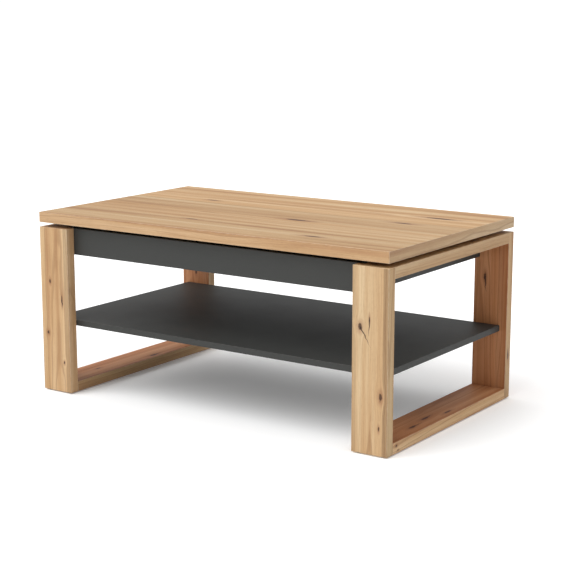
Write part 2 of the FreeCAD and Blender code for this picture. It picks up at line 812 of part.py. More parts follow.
def bracket_screw_places(side):
    x = signed(side, BRACKET_SCREW_X)
    step = f"(({BRACKET_BACK}) - ({BRACKET_FRONT}) - 2 * dims.bracket_screw_edge) / 3"
    first = f"{BRACKET_FRONT} + dims.bracket_screw_edge"
    return [(x, f"{first} + {number} * {step}") for number in range(4)]


def bracket_screw(label, place, grow, extra, head):
    reach = (FOOT_LOW, f"{SLAB_LOW} + dims.bracket_screw_length{extra}")
    shank = rod(label, "Z", reach, place, f"dims.screw_radius{grow}")
    if not head:
        return shank
    reach = (f"{FOOT_LOW} - dims.screw_head", FOOT_LOW)
    cap = rod(f"{label}_head", "Z", reach, place, "dims.screw_head_radius")
    return fused(f"{label}_screw", [shank, cap])


blank = board(
    "table_top",
    (f"-({HALF_LENGTH})", HALF_LENGTH),
    (f"-({HALF_DEPTH})", HALF_DEPTH),
    (SLAB_LOW, SLAB_TOP),
)
holes = []
bracket_screws = []
for side_name, side in SIDES.items():
    for place in bracket_screw_places(side):
        label = f"bracket_screw_{len(doc.Objects)}"
        holes.append(bracket_screw(f"{label}_pilot", place, WIDER, LONGER, False))
        bracket_screws.append(bracket_screw(label, place, "", "", True))
keep("table_top", cut("table_top", blank, holes))
keep("bracket_screws", grouped("bracket_screws", bracket_screws))


def add_bracket(side_name):
    """A steel angle under the top, with an ear round each pivot."""
    side = SIDES[side_name]
    name = f"top_bracket_{side_name}"
    x = span(side, BRACKET_FACE, BRACKET_OUT)
    y = (BRACKET_FRONT, BRACKET_BACK)
    pieces = [
        box(f"{name}_web", x, y, (f"{SLAB_LOW} - dims.bracket_web", SLAB_LOW)),
        box(
            f"{name}_foot",
            span(side, f"{BRACKET_FACE} - dims.bracket_foot", BRACKET_FACE),
            y,
            (FOOT_LOW, SLAB_LOW),
        ),
    ]
    tools = []
    for end_name in ENDS:
        centre = (top_pivot_y(end_name), TOP_PIVOT_Z)
        tag = f"{name}_{end_name}"
        pieces.append(rod(f"{tag}_ear", "X", x, centre, "dims.bracket_ear_radius"))
        tools.append(rod(f"{tag}_hole", "X", x, centre, f"dims.pin_radius{WIDER}"))
    for place in bracket_screw_places(side):
        label = f"{name}_hole_{len(doc.Objects)}"
        tools.append(bracket_screw(label, place, WIDER, LONGER, False))
    keep(name, cut(name, fused(f"{name}_whole", pieces), tools))


for side_name in SIDES:
    add_bracket(side_name)

# ------------------------------------------------- remaining loose fasteners
dowels = []
rail_screws = []
plate_screws = []
for side_name, side in SIDES.items():
    for end in ENDS.values():
        dowels += tray_dowels(side, end)
    for y in rail_screw_places():
        rail_screws.append(rail_screw(f"rail_screw_{len(doc.Objects)}", side, y, "", "", True))
    for place in plate_screw_places():
        label = f"plate_screw_{len(doc.Objects)}"
        plate_screws.append(plate_screw(label, side, place, "", "", True))
keep("tray_dowels", grouped("tray_dowels", dowels))
keep("tray_rail_screws", grouped("tray_rail_screws", rail_screws))
keep("base_plate_screws", grouped("base_plate_screws", plate_screws))

# ------------------------------------------------------------ check and save
doc.recompute()
for thing in doc.Objects:
    if {"Invalid", "Error"} & set(thing.State):
        raise RuntimeError(f"{thing.Name} failed: {thing.State}")
for name, thing in nodes.items():
    if thing.Shape.isNull() or not thing.Shape.isValid() or not thing.Shape.Solids:
        raise RuntimeError(f"{name} has no valid solid")
os.makedirs("parts", exist_ok=True)
for name, thing in nodes.items():
    thing.Shape.exportStep(f"parts/{name}.step")
    solid_count = len(thing.Shape.Solids)
    box_made = thing.Shape.BoundBox
    print(
        f"{name}: {solid_count} solid(s), {box_made.XLength:.1f} x {box_made.YLength:.1f}"
        f" x {box_made.ZLength:.1f}, volume {thing.Shape.Volume / 1000:.2f} cm3"
    )
print(f"{len(nodes)} nodes")
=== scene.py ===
# %% [markdown]
# # A lift-top coffee table in knotty oak decor and anthracite
#
# The boards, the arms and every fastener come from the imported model, in metres, with
# the floor at zero. This lesson gives them their finishes: a printed oak decor with
# knots, an anthracite laminate, powder-coated steel. Then it makes the small turned
# and pressed parts again in more detail, and sets up a plain studio.
#
# Every pattern reads Object coordinates. A piece's object stays at the origin and its
# place is in its mesh, so a point of the table has the same pattern coordinates in
# every piece, and a knot can be placed in metres.

import math

import bmesh
import bpy
from mathutils import Matrix, Vector


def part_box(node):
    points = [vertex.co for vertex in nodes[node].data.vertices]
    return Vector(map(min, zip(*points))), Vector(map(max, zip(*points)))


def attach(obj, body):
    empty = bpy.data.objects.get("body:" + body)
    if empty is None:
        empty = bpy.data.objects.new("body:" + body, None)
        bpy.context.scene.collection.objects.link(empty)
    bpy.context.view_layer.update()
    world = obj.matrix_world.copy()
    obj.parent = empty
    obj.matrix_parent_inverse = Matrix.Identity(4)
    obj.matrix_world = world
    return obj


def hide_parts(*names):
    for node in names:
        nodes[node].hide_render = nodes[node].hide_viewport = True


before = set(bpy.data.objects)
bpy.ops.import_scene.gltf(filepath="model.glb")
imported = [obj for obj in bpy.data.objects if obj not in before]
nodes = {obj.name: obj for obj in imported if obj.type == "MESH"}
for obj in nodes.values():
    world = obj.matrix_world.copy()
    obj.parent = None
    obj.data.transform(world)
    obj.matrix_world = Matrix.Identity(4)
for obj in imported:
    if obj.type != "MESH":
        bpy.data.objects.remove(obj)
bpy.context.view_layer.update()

# %% [markdown]
# ## Small tools for wiring shader nodes
#
# A shader is a graph. Writing each node, its settings and its links by hand would bury
# the idea under typing, so a few helpers make one node each and return its output. An
# input may be a number, a colour, or the output of another node.


# %% Feeding a socket, and one node at a time
def feed(tree, socket, value):
    """Links value into the socket if it is an output, or sets it as the socket's own."""
    if isinstance(value, bpy.types.NodeSocket):
        tree.links.new(value, socket)
    else:
        socket.default_value = value


def calc(tree, operation, *values):
    """One Math node: ADD, MULTIPLY, ABSOLUTE and so on."""
    node = tree.nodes.new("ShaderNodeMath")
    node.operation = operation
    for socket, value in zip(node.inputs, values):
        feed(tree, socket, value)
    return node.outputs[0]


def vector_calc(tree, operation, *values):
    """One Vector Math node, for the operations that put out a vector."""
    node = tree.nodes.new("ShaderNodeVectorMath")
    node.operation = operation
    for socket, value in zip(node.inputs, values):
        feed(tree, socket, value)
    return node.outputs[0]


def parts_of(tree, vector):
    """The three numbers of a vector."""
    node = tree.nodes.new("ShaderNodeSeparateXYZ")
    feed(tree, node.inputs[0], vector)
    return node.outputs[0], node.outputs[1], node.outputs[2]


def vector_of(tree, x, y, z):
    node = tree.nodes.new("ShaderNodeCombineXYZ")
    for socket, value in zip(node.inputs, (x, y, z)):
        feed(tree, socket, value)
    return node.outputs[0]


def length_of(tree, x, y):
    """How long a flat step of x and y is."""
    node = tree.nodes.new("ShaderNodeVectorMath")
    node.operation = "LENGTH"
    tree.links.new(vector_of(tree, x, y, 0.0), node.inputs[0])
    return node.outputs["Value"]


def swing(tree, value, size):
    """Turns a value from 0 to 1 into one from minus half of size to half of it."""
    return calc(tree, "MULTIPLY_ADD", value, size, -size / 2)


# %% Noise, fades and mixes
def noise(tree, vector, scale, detail=2.0, rough=0.5):
    """Soft noise from 0 to 1 at each point of a vector."""
    node = tree.nodes.new("ShaderNodeTexNoise")
    feed(tree, node.inputs["Vector"], vector)
    feed(tree, node.inputs["Scale"], scale)
    feed(tree, node.inputs["Detail"], detail)
    feed(tree, node.inputs["Roughness"], rough)
    return node.outputs[0]


def noise_along(tree, place, scale, detail=2.0, rough=0.5):
    """Soft noise from 0 to 1 along one number."""
    node = tree.nodes.new("ShaderNodeTexNoise")
    node.noise_dimensions = "1D"
    feed(tree, node.inputs["W"], place)
    feed(tree, node.inputs["Scale"], scale)
    feed(tree, node.inputs["Detail"], detail)
    feed(tree, node.inputs["Roughness"], rough)
    return node.outputs[0]


def fade(tree, value, start, end, low=0.0, high=1.0):
    """Goes smoothly from low at start to high at end, and holds outside them."""
    node = tree.nodes.new("ShaderNodeMapRange")
    node.interpolation_type = "SMOOTHSTEP"
    for socket, number in zip(node.inputs, (value, start, end, low, high)):
        feed(tree, socket, number)
    return node.outputs[0]


def mixed(tree, share, first, second, how="MIX"):
    """The first colour with a share of the second."""
    node = tree.nodes.new("ShaderNodeMix")
    node.data_type = "RGBA"
    node.blend_type = how
    feed(tree, node.inputs[0], share)
    feed(tree, node.inputs[6], first)
    feed(tree, node.inputs[7], second)
    return node.outputs[2]


def bands(tree, value, stops):
    """A Color Ramp with (place, colour) stops."""
    node = tree.nodes.new("ShaderNodeValToRGB")
    feed(tree, node.inputs[0], value)
    ramp = node.color_ramp
    while len(ramp.elements) < len(stops):
        ramp.elements.new(1.0)
    for element, (place, colour) in zip(ramp.elements, stops):
        element.position = place
        element.color = colour
    return node.outputs[0]


# %% Colours as a paint shop gives them
def paint(red, green, blue):
    """A colour in the usual 0 to 255 steps, as the linear values that shaders use."""
    steps = [channel / 255 for channel in (red, green, blue)]
    linear = [s / 12.92 if s <= 0.04045 else ((s + 0.055) / 1.055) ** 2.4 for s in steps]
    return (*linear, 1.0)


# %% A new node group, and a new material
def new_group(name, inputs, outputs):
    """A shader node group. Inputs are (name, kind, default), outputs (name, kind)."""
    tree = bpy.data.node_groups.new(name, "ShaderNodeTree")
    for label, kind, default in inputs:
        socket = tree.interface.new_socket(label, in_out="INPUT", socket_type=f"NodeSocket{kind}")
        if default is not None:
            socket.default_value = default
    for label, kind in outputs:
        tree.interface.new_socket(label, in_out="OUTPUT", socket_type=f"NodeSocket{kind}")
    source = tree.nodes.new("NodeGroupInput")
    sink = tree.nodes.new("NodeGroupOutput")
    return tree, source.outputs, sink.inputs


def place_group(tree, group, **values):
    """Puts a group in a tree. Names use _ for the spaces of the group's inputs."""
    node = tree.nodes.new("ShaderNodeGroup")
    node.node_tree = group
    for label, value in values.items():
        feed(tree, node.inputs[label.replace("_", " ")], value)
    return node.outputs


def new_finish(name):
    """A material with one Principled BSDF, and the tree to wire it in."""
    material = bpy.data.materials.new(name)
    material.use_nodes = True
    tree = material.node_tree
    return material, tree, tree.nodes["Principled BSDF"]


def raised(tree, height, depth, strength):
    """A Bump node: height from 0 to 1 stands for depth metres of relief."""
    node = tree.nodes.new("ShaderNodeBump")
    feed(tree, node.inputs["Height"], height)
    node.inputs["Distance"].default_value = depth
    node.inputs["Strength"].default_value = strength
    return node.outputs[0]


# %% [markdown]
# ## Where a point lies on its board
#
# The oak is a decor printed on a sheet and wrapped on the board: one sheet on each wide
# face, and a band glued along each edge. The grain of a band runs along the band, even
# across the board's end, where solid timber would show end grain. So the pattern needs
# a flat position on the face that the point belongs to.
#
# Each material first puts the coordinates in the board's own order: along the grain,
# across it, through the thickness. The group then picks two of the three by the face's
# normal. Its other output tells the bands from the sheets, so that their tints can
# differ.


# %% The group for faces and bands
# how much of a normal has to point one way to count as facing it
FACING = 0.7
# sides and ends read other layers of the pattern than the wide faces do
SIDE_LAYER, END_LAYER = 3.0, 6.0


def make_face_group():
    tree, given, out = new_group(
        "face of a board",
        [("Place", "Vector", None), ("Facing", "Vector", None)],
        [("Sheet", "Vector"), ("Band", "Float")],
    )
    along, across, through = parts_of(tree, given["Place"])
    turned = vector_calc(tree, "ABSOLUTE", given["Facing"])
    end_on, side_on, _ = parts_of(tree, turned)
    end = calc(tree, "GREATER_THAN", end_on, FACING)
    side = calc(tree, "GREATER_THAN", side_on, FACING)
    band = calc(tree, "MAXIMUM", end, side)
    wide_sheet = vector_of(tree, along, across, 0.0)
    side_sheet = vector_of(tree, along, through, SIDE_LAYER)
    end_sheet = vector_of(tree, across, through, END_LAYER)
    picked = tree.nodes.new("ShaderNodeMix")
    picked.data_type = "VECTOR"
    feed(tree, picked.inputs[0], side)
    feed(tree, picked.inputs[4], wide_sheet)
    feed(tree, picked.inputs[5], side_sheet)
    last = tree.nodes.new("ShaderNodeMix")
    last.data_type = "VECTOR"
    feed(tree, last.inputs[0], end)
    feed(tree, last.inputs[4], picked.outputs[1])
    feed(tree, last.inputs[5], end_sheet)
    tree.links.new(last.outputs[1], out["Sheet"])
    tree.links.new(band, out["Band"])
    return tree


face_group = make_face_group()
print(face_group.name, "group: a flat place on the sheet, and which faces are bands")

# %% [markdown]
# ## How far a point is from the nearest arris
#
# Edges show the glue line of their band, and wear first. A rounded arris also catches the
# light, and here that is a painted highlight: the worn edge and the highlight are one
# paler band of colour. A board is a box, and a point on its surface has three distances
# to the box's faces. One of them is zero, and the middle one of the three is the distance
# to the nearest arris. It needs no extra geometry, and it is exact at any size.


# %% The group for the arris
# the reach and the edge of the paler band along the arris, which is wear and a painted highlight
GLUE_LINE_FROM, GLUE_LINE_TO = (0.0008, 0.0011), (0.0013, 0.0018)
WEAR_HIGHLIGHT_REACH, LEAST_WEAR_HIGHLIGHT = 0.003, -0.0006
WEAR_HIGHLIGHT_EDGE = (-0.0004, 0.0008)


def make_arris_group():
    tree, given, out = new_group(
        "distance to the arris",
        [("Place", "Vector", None), ("Middle", "Vector", None), ("Half", "Vector", None)],
        [("Glue Line", "Float"), ("Wear Highlight", "Float")],
    )
    from_middle = vector_calc(tree, "SUBTRACT", given["Place"], given["Middle"])
    gaps = vector_calc(tree, "SUBTRACT", given["Half"], vector_calc(tree, "ABSOLUTE", from_middle))
    x, y, z = parts_of(tree, vector_calc(tree, "ABSOLUTE", gaps))
    low = calc(tree, "MINIMUM", x, y)
    high = calc(tree, "MAXIMUM", x, y)
    distance = calc(tree, "MAXIMUM", low, calc(tree, "MINIMUM", high, z))
    near = fade(tree, distance, *GLUE_LINE_FROM)
    far = fade(tree, distance, *GLUE_LINE_TO, low=1.0, high=0.0)
    # the paler band is wear, and a painted highlight where a rounded arris would catch the light
    uneven = noise(tree, given["Place"], 55.0, 3.0, 0.6)
    reach = calc(tree, "MULTIPLY_ADD", uneven, WEAR_HIGHLIGHT_REACH, LEAST_WEAR_HIGHLIGHT)
    wear_and_highlight = fade(tree, calc(tree, "SUBTRACT", reach, distance), *WEAR_HIGHLIGHT_EDGE)
    tree.links.new(calc(tree, "MULTIPLY", near, far), out["Glue Line"])
    tree.links.new(wear_and_highlight, out["Wear Highlight"])
    return tree


# its edge output is wear and a painted highlight together
arris_group = make_arris_group()
print(arris_group.name, "group: a glue line, and wear along the edges")

# %% [markdown]
# ## Knots and cracks
#
# A knot is where a branch left the trunk. Three things make it read as one: a dark core
# with a ragged rim, a warm halo, and grain lines that part and flow round it. The
# parting is done to the coordinates before the grain is drawn: near the knot the
# distance across the grain is squeezed, so the lines spread apart there. Many knots of
# this oak also have a crack, filled dark, that runs off at a slant.


# %% The crack of a knot
CRACK_WANDER, CRACK_WIDTH, CRACK_EDGE = 0.006, 0.0021, 0.0004


def crack_mask(tree, u, du, dv, run, slant):
    """A thin wandering line that starts at the knot and gets thinner along its run."""
    wander = swing(tree, noise_along(tree, u, 90.0, 3.0), CRACK_WANDER)
    line = calc(tree, "MULTIPLY_ADD", du, slant, wander)
    off_line = calc(tree, "ABSOLUTE", calc(tree, "ADD", dv, line))
    share = calc(tree, "DIVIDE", du, run)
    width = fade(tree, share, 1.0, 0.1, high=CRACK_WIDTH)
    inside = fade(tree, calc(tree, "SUBTRACT", off_line, width), CRACK_EDGE, -CRACK_EDGE)
    on_its_run = calc(tree, "GREATER_THAN", calc(tree, "MULTIPLY", width, share), 0.0)
    return calc(tree, "MULTIPLY", inside, on_its_run)


# %% The group for one knot
# edges and reach are in knot sizes
RAGGED = 0.9
CORE_EDGE, HALO_EDGE = (1.05, 0.55), (2.6, 0.7)
FLOW_REACH, FLOW_SQUEEZE = 5.0, 0.25


def make_knot_group():
    tree, given, out = new_group(
        "oak knot",
        [
            ("Sheet", "Vector", None),
            ("Along", "Float", 0.0),
            ("Across", "Float", 0.0),
            ("Size", "Float", 0.008),
            ("Stretch", "Float", 1.6),
            ("Crack Run", "Float", 0.0),
            ("Crack Slant", "Float", 0.5),
        ],
        [("Sheet", "Vector"), ("Core", "Float"), ("Halo", "Float"), ("Crack", "Float")],
    )
    u, v, layer = parts_of(tree, given["Sheet"])
    du = calc(tree, "SUBTRACT", u, given["Along"])
    dv = calc(tree, "SUBTRACT", v, given["Across"])
    stretched = calc(tree, "DIVIDE", du, given["Stretch"])
    reach = calc(tree, "DIVIDE", length_of(tree, stretched, dv), given["Size"])
    uneven = swing(tree, noise(tree, given["Sheet"], 160.0, 3.0, 0.6), RAGGED)
    ring = calc(tree, "ADD", reach, uneven)
    squeeze = fade(tree, reach, FLOW_REACH, 0.0, 1.0, FLOW_SQUEEZE)
    new_v = calc(tree, "MULTIPLY_ADD", dv, squeeze, given["Across"])
    crack = crack_mask(tree, u, du, dv, given["Crack Run"], given["Crack Slant"])
    tree.links.new(vector_of(tree, u, new_v, layer), out["Sheet"])
    tree.links.new(fade(tree, ring, *CORE_EDGE), out["Core"])
    tree.links.new(fade(tree, ring, *HALO_EDGE), out["Halo"])
    tree.links.new(crack, out["Crack"])
    return tree


knot_group = make_knot_group()
print(knot_group.name, "group: core, halo, crack and bent grain")

# %% [markdown]
# ## The figure of the oak
#
# Growth rings cut by a flat saw show as long lines that open into arches where the
# board passes near the heart. The lines come from one distance: how far a point of the
# sheet is from a heart line that dips below the board. Noise read along that distance
# gives rings of uneven width, as in a tree. Under the rings lie soft bands of sapwood
# and heartwood, and over them fine fibres and pores. Each stave has a tone of its own.

# %% Decor colours
CREAM = paint(206, 181, 143)
TAN = paint(194, 162, 121)
HONEY = paint(183, 147, 104)
RUSSET = paint(160, 118, 80)
LATEWOOD = paint(142, 104, 70)
KNOT_HALO = paint(128, 72, 42)
KNOT_CORE = paint(54, 28, 17)
CRACK_FILL = paint(40, 25, 17)
# a shade is multiplied over a colour, and the plain one leaves it as it is
PLAIN = (1.0, 1.0, 1.0, 1.0)
WARM_SHADE = (1.0, 0.80, 0.66, 1.0)
FIBRE_SHADE = (0.62, 0.50, 0.40, 1.0)
PORE_SHADE = (0.42, 0.30, 0.20, 1.0)
SEAM_SHADE = (0.55, 0.42, 0.32, 1.0)
GLUE_SHADE = (0.50, 0.38, 0.28, 1.0)


# %% Noise drawn out along the grain
def streaks(tree, u, v, seed, along, across, detail=2.0, rough=0.5):
    """Soft noise from 0 to 1 that changes slowly along the grain and fast across it."""
    place_u = calc(tree, "MULTIPLY", u, along)
    place_v = calc(tree, "MULTIPLY", v, across)
    return noise(tree, vector_of(tree, place_u, place_v, seed), 1.0, detail, rough)


# %% Staves
def stave_of(tree, v, seed, width):
    """A point's stave, its share of the way across it, and the stave's three chances."""
    step = calc(tree, "DIVIDE", v, width)
    shifted = calc(tree, "ADD", step, calc(tree, "MULTIPLY", seed, 0.37))
    stave = calc(tree, "FLOOR", shifted)
    chance = tree.nodes.new("ShaderNodeTexWhiteNoise")
    chance.noise_dimensions = "2D"
    tree.links.new(vector_of(tree, stave, seed, 0.0), chance.inputs["Vector"])
    share = calc(tree, "SUBTRACT", shifted, stave)
    return stave, share, parts_of(tree, chance.outputs["Color"])


# %% Growth rings
HEART_DRIFT, HEART_TILT = 0.5, 0.06
LEAST_DEPTH, DEPTH_RANGE = 0.008, 0.04
RING_WAVE, RING_SCALE = 0.006, 210.0


def ring_lines(tree, u, v, seed, width, stave, share, chances):
    """Noise read along the distance to a heart line, which each stave has in its own place."""
    tone, depth, side = chances
    drift_place = vector_of(tree, calc(tree, "MULTIPLY", u, 1.1), seed, tone)
    drift = swing(tree, noise(tree, drift_place, 1.6), HEART_DRIFT)
    heart = calc(tree, "MULTIPLY_ADD", side, 0.8, 0.1)
    off_heart = calc(tree, "SUBTRACT", calc(tree, "ADD", share, drift), heart)
    sunk = calc(tree, "MULTIPLY_ADD", depth, DEPTH_RANGE, LEAST_DEPTH)
    tilt = calc(tree, "MULTIPLY", u, swing(tree, tone, HEART_TILT))
    below = calc(tree, "ADD", sunk, tilt)
    reach = length_of(tree, calc(tree, "MULTIPLY", off_heart, width), below)
    wave = swing(tree, streaks(tree, u, v, seed, 7.0, 30.0, 3.0), RING_WAVE)
    growth = calc(tree, "ADD", reach, wave)
    own_rings = calc(tree, "ADD", growth, calc(tree, "MULTIPLY", stave, 0.371))
    return noise_along(tree, calc(tree, "ADD", own_rings, seed), RING_SCALE, 1.5, 0.6)


# %% The colour of the timber
STAVE_CONTRAST = 0.34


def timber_colour(tree, soft, rings, fibre, tone, side):
    """Soft bands, with the rings and fibres over them, in the stave's own tone."""
    body = bands(tree, soft, [(0.28, RUSSET), (0.42, HONEY), (0.55, TAN), (0.70, CREAM)])
    ringed = mixed(tree, fade(tree, rings, 0.46, 0.30, high=0.42), body, LATEWOOD)
    fibrous = fade(tree, fibre, 0.35, 0.70, high=0.34)
    streaked = mixed(tree, fibrous, ringed, FIBRE_SHADE, "MULTIPLY")
    lift = calc(tree, "ADD", swing(tree, tone, STAVE_CONTRAST), 1.0)
    toned = vector_calc(tree, "MULTIPLY", streaked, vector_of(tree, lift, lift, lift))
    return mixed(tree, fade(tree, side, 0.5, 1.0, high=0.22), toned, WARM_SHADE, "MULTIPLY")


# %% The group for the grain
def make_grain_group():
    tree, given, out = new_group(
        "oak grain",
        [("Sheet", "Vector", None), ("Seed", "Float", 0.0), ("Stave", "Float", 0.11)],
        [("Color", "Color"), ("Pores", "Float"), ("Rings", "Float")],
    )
    u, v, layer = parts_of(tree, given["Sheet"])
    seed = calc(tree, "ADD", layer, given["Seed"])
    width = given["Stave"]
    stave, share, chances = stave_of(tree, v, seed, width)
    tone, _, side = chances
    rings = ring_lines(tree, u, v, seed, width, stave, share, chances)
    soft = streaks(tree, u, v, seed, 0.8, 27.0, 2.0, 0.55)
    fibre = streaks(tree, u, v, seed, 9.0, 420.0, 3.0, 0.65)
    pores = fade(tree, streaks(tree, u, v, seed, 70.0, 1500.0, 1.0), 0.60, 0.72)
    timber = timber_colour(tree, soft, rings, fibre, tone, side)
    pored = mixed(tree, calc(tree, "MULTIPLY", pores, 0.30), timber, PORE_SHADE, "MULTIPLY")
    to_seam = calc(tree, "MINIMUM", share, calc(tree, "SUBTRACT", 1.0, share))
    seam = fade(tree, calc(tree, "MULTIPLY", to_seam, width), 0.0006, 0.0002, high=0.35)
    tree.links.new(mixed(tree, seam, pored, SEAM_SHADE, "MULTIPLY"), out["Color"])
    tree.links.new(pores, out["Pores"])
    tree.links.new(rings, out["Rings"])
    return tree


grain_group = make_grain_group()
print(grain_group.name, "group:", len(grain_group.nodes), "nodes")

# %% [markdown]
# ## An oak finish for each board
#
# No two boards of the table carry the same knots, so each gets its own material from
# one recipe. The recipe takes the axis of the grain, a seed, the width of the staves,
# and the knots as (along, across, size, stretch, crack run, crack slant). Lengths are
# in metres of the table. On a side band, across is the place through the board.

# %% A board's order of axes, and its box
AXIS_ORDER = {"X": (0, 1, 2), "Y": (1, 0, 2), "Z": (2, 0, 1)}


def in_order(tree, vector, grain):
    """The vector's numbers as along the grain, across it, through the board."""
    parts = parts_of(tree, vector)
    return vector_of(tree, *[parts[index] for index in AXIS_ORDER[grain]])


def edges_of(tree, place, name):
    """The arris group, set to the box of a board."""
    low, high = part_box(name)
    middle, half = tuple((low + high) / 2), tuple((high - low) / 2)
    return place_group(tree, arris_group, Place=place, Middle=middle, Half=half)


# %% Knots on a sheet
def add_knots(tree, sheet, knots):
    """One group for each knot. Gives the sheet with its grain bent, and the groups."""
    placed = []
    for along, across, size, stretch, crack_run, crack_slant in knots:
        knot = place_group(
            tree,
            knot_group,
            Sheet=sheet,
            Along=along,
            Across=across,
            Size=size,
            Stretch=stretch,
            Crack_Run=crack_run,
            Crack_Slant=crack_slant,
        )
        sheet = knot["Sheet"]
        placed.append(knot)
    return sheet, placed


KNOT_LAYERS = (("Halo", 0.42, KNOT_HALO), ("Core", 0.85, KNOT_CORE), ("Crack", 0.85, CRACK_FILL))


def darken_knots(tree, colour, placed):
    """Lays the halo, the core and the crack of each knot over the colour."""
    for knot in placed:
        for part, strength, shade in KNOT_LAYERS:
            share = calc(tree, "MULTIPLY", knot[part], strength)
            colour = mixed(tree, share, colour, shade)
    return colour


# %% The recipe for an oak board
# a paler oak screened over the arris: wear, and a painted highlight where the edge would catch the
# light
WORN_OAK_HIGHLIGHT = (1.0, 0.93, 0.80, 1.0)
GLUE_SHARE, WEAR_HIGHLIGHT_SHARE = 0.35, 0.16
# rough latewood and smoother earlywood, and how deep the rings and pores go
OAK_ROUGHNESS, OAK_RELIEF = (0.62, 0.50), 0.00015


def oak_finish(name, grain, seed, stave, knots, sheet_tint, band_tint):
    material, tree, shader = new_finish(f"oak decor, {name.replace('_', ' ')}")
    where = tree.nodes.new("ShaderNodeTexCoord")
    place = in_order(tree, where.outputs["Object"], grain)
    facing = in_order(tree, where.outputs["Normal"], grain)
    face = place_group(tree, face_group, Place=place, Facing=facing)
    sheet, placed = add_knots(tree, face["Sheet"], knots)
    figure = place_group(tree, grain_group, Sheet=sheet, Seed=seed, Stave=stave)
    tint = mixed(tree, face["Band"], sheet_tint, band_tint)
    colour = mixed(tree, 1.0, figure["Color"], tint, "MULTIPLY")
    colour = darken_knots(tree, colour, placed)
    edge = edges_of(tree, where.outputs["Object"], name)
    glued = calc(tree, "MULTIPLY", edge["Glue Line"], GLUE_SHARE)
    colour = mixed(tree, glued, colour, GLUE_SHADE, "MULTIPLY")
    # wear and a painted highlight along the arris
    wear_highlight_share = calc(tree, "MULTIPLY", edge["Wear Highlight"], WEAR_HIGHLIGHT_SHARE)
    colour = mixed(tree, wear_highlight_share, colour, WORN_OAK_HIGHLIGHT, "SCREEN")
    feed(tree, shader.inputs["Base Color"], colour)
    feed(tree, shader.inputs["Roughness"], fade(tree, figure["Rings"], 0.25, 0.75, *OAK_ROUGHNESS))
    shader.inputs["Specular IOR Level"].default_value = 0.35
    hollow = figure["Pores"]
    for knot in placed:
        hollow = calc(tree, "MAXIMUM", hollow, knot["Crack"])
    relief = calc(tree, "SUBTRACT", calc(tree, "MULTIPLY", figure["Rings"], 0.4), hollow)
    feed(tree, shader.inputs["Normal"], raised(tree, relief, OAK_RELIEF, 0.7))
    return material


def dress(name, finish):
    """Puts a finish on a node that keeps its shape."""
    for material_slot in nodes[name].material_slots:
        material_slot.link = "OBJECT"
        material_slot.material = finish


# %% The knots of each board, and its finish
OAK_BOARDS = {
    "table_top": (
        "X",
        1.0,
        0.13,
        [
            (0.105, -0.050, 0.0085, 4.6, 0.09, 0.03),
            (0.285, -0.245, 0.0060, 4.6, 0.05, -0.04),
            (0.405, 0.180, 0.0080, 6.0, 0.08, 0.03),
            (0.366, 0.058, 0.0060, 5.5, 0.0, 0.0),
            (-0.300, 0.120, 0.0050, 4.0, 0.06, 0.05),
            (-0.130, -0.190, 0.0040, 6.0, 0.0, 0.0),
        ],
    ),
    "front_leg_right": (
        "Z",
        2.3,
        0.075,
        [
            (0.312, 0.473, 0.0062, 1.7, -0.052, 0.62),
            (0.148, 0.531, 0.0052, 2.2, 0.0, 0.0),
            (0.332, 0.498, 0.0022, 4.0, -0.05, -0.10),
            (0.070, 0.527, 0.0024, 3.0, 0.0, 0.0),
        ],
    ),
    "front_leg_left": (
        "Z",
        4.1,
        0.062,
        [
            (0.309, -0.517, 0.0036, 2.0, 0.0, 0.0),
            (0.165, -0.529, 0.0040, 1.6, 0.0, 0.0),
            (0.086, -0.473, 0.0030, 1.6, 0.0, 0.0),
            (0.262, -0.476, 0.0024, 6.0, -0.03, 0.05),
        ],
    ),
    "rear_leg_right": (
        "Z",
        6.7,
        0.08,
        [
            (0.333, 0.483, 0.0042, 3.0, -0.05, 0.08),
            (0.106, 0.277, 0.0030, 2.0, 0.0, 0.0),
            (0.120, 0.311, 0.0040, 3.0, 0.03, 0.05),
        ],
    ),
    "rear_leg_left": ("Z", 8.2, 0.07, [(0.240, -0.500, 0.0040, 2.5, 0.05, 0.2)]),
    "top_rail_right": (
        "Y",
        3.4,
        0.084,
        [(-0.120, 0.505, 0.0040, 4.0, 0.05, 0.05), (0.130, 0.530, 0.0035, 5.0, 0.0, 0.0)],
    ),
    "top_rail_left": ("Y", 5.6, 0.09, [(0.060, -0.500, 0.0040, 4.0, 0.0, 0.0)]),
    "bottom_rail_right": (
        "Y",
        7.9,
        0.06,
        [
            (-0.280, 0.022, 0.0030, 1.6, 0.0, 0.0),
            (-0.272, 0.010, 0.0022, 1.6, 0.0, 0.0),
            (-0.069, 0.509, 0.0050, 4.0, 0.05, 0.04),
            (-0.152, 0.520, 0.0055, 3.0, 0.06, 0.05),
            (0.015, 0.528, 0.0040, 5.0, 0.0, 0.0),
        ],
    ),
    "bottom_rail_left": (
        "Y",
        9.3,
        0.07,
        [(0.050, -0.470, 0.0060, 3.0, 0.06, 0.05), (-0.160, -0.500, 0.0035, 3.0, 0.0, 0.0)],
    ),
}

